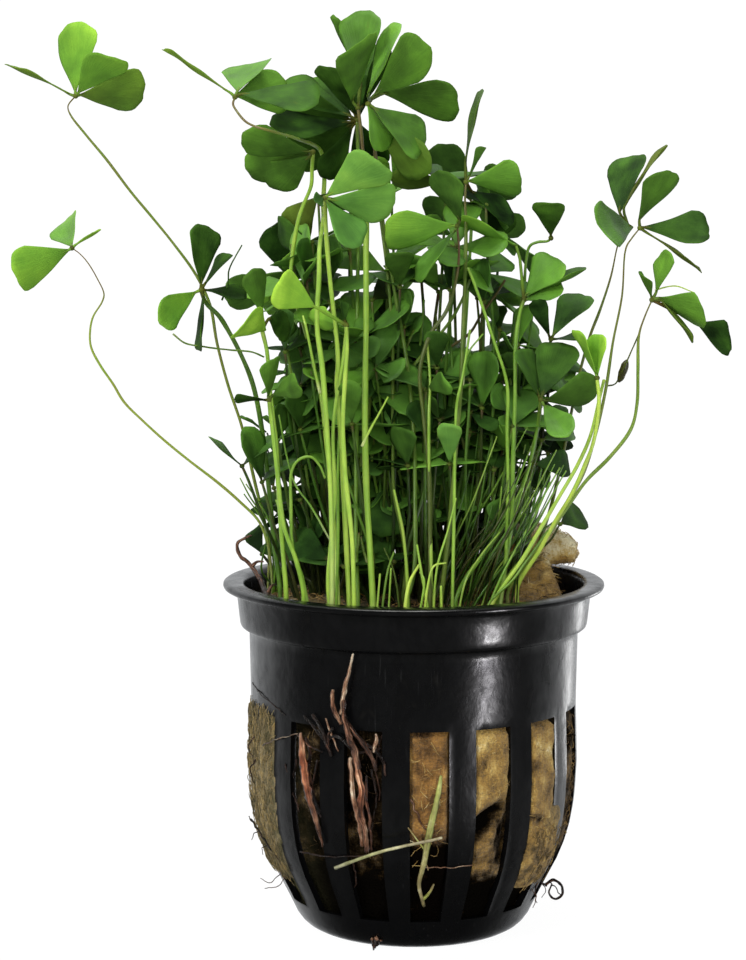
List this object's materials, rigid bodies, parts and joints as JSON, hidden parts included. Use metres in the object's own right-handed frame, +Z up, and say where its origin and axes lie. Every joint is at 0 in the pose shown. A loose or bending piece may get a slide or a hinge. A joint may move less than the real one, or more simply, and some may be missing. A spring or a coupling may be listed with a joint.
{
  "type": "potted water clover",
  "caption": "Small bunch of four-lobed water clover growing out of mineral wool in a black slotted net pot, for planting in an aquarium or pond.",
  "frame": {"origin": "centre of the flat underside of the pot's base", "axes": "+Z up, -Y is the side the picture shows, +X to its right"},
  "size_m": [0.1, 0.0696, 0.1312],
  "materials": {
    "pot": "glossy black moulded plastic, wet, with fine scuffs",
    "wool": "golden tan fibrous mineral wool, damp, darker in its folds",
    "rhizome": "reddish brown, rough, with paler tips",
    "root": "reddish brown wet root with pale broken bark",
    "dry_stalk": "pale yellow-green, smooth",
    "shoot": "yellow-green, smooth, browner towards the foot",
    "stem": "yellow-green to mid green, smooth, reddish under the leaflets",
    "leaf": "mid green, smooth satin, fine fan veins, paler and greyer beneath"
  },
  "bodies": {
    "root": {"net_pot": "pot", "rockwool_plug": "wool", "rockwool_block": "wool", "rhizome": "rhizome", "root_left": "root", "root_centre": "root", "root_cross": "dry_stalk", "runner_shoot": "shoot", "root_loop": "root", "stem_01": "stem", "leaf_01": "leaf", "stem_02": "stem", "leaf_02": "leaf", "stem_03": "stem", "leaf_03": "leaf", "stem_04": "stem", "leaf_04": "leaf", "stem_05": "stem", "leaf_05": "leaf", "stem_06": "stem", "leaf_06": "leaf", "stem_07": "stem", "leaf_07": "leaf", "stem_08": "stem", "leaf_08": "leaf", "stem_09": "stem", "leaf_09": "leaf", "stem_10": "stem", "leaf_10": "leaf", "stem_11": "stem", "leaf_11": "leaf", "stem_12": "stem", "leaf_12": "leaf", "stem_13": "stem", "leaf_13": "leaf", "stem_14": "stem", "leaf_14": "leaf", "stem_15": "stem", "leaf_15": "leaf", "stem_16": "stem", "leaf_16": "leaf", "stem_17": "stem", "leaf_17": "leaf", "stem_18": "stem", "leaf_18": "leaf", "stem_19": "stem", "leaf_19": "leaf", "stem_20": "stem", "leaf_20": "leaf", "stem_21": "stem", "leaf_21": "leaf", "stem_22": "stem", "leaf_22": "leaf", "stem_23": "stem", "leaf_23": "leaf", "stem_24": "stem", "leaf_24": "leaf", "stem_25": "stem", "leaf_25": "leaf", "inner_growth": "leaf"}
  },
  "joints": []
}
